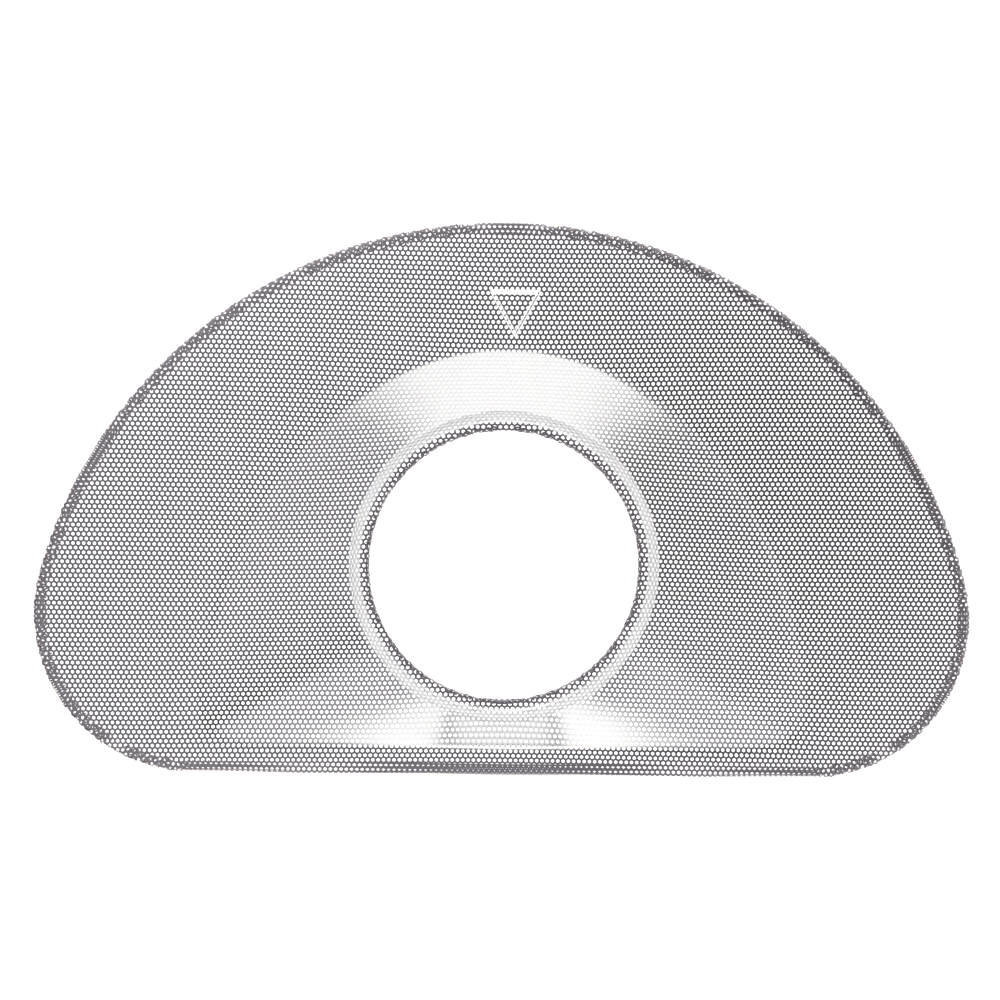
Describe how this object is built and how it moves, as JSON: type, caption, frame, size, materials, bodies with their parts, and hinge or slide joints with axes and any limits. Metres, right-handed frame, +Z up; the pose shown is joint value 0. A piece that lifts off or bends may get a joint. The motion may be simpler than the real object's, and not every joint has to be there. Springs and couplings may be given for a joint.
{
  "type": "dishwasher filter plate",
  "caption": "Flat D-shaped sieve of fine perforated stainless sheet, hemmed round its edge, with a pressed dish that slopes down to a large round opening for the filter cylinder.",
  "frame": {"origin": "axis of the filter opening, at the underside of its lip", "axes": "+X along the straight edge, +Y from the straight edge towards the arch, +Z up, out of the dish"},
  "size_m": [0.2652, 0.1564, 0.015],
  "materials": {
    "stainless_sheet": "bright rolled stainless sheet, finely perforated"
  },
  "bodies": {
    "root": {"filter_plate": "stainless_sheet"}
  },
  "joints": []
}
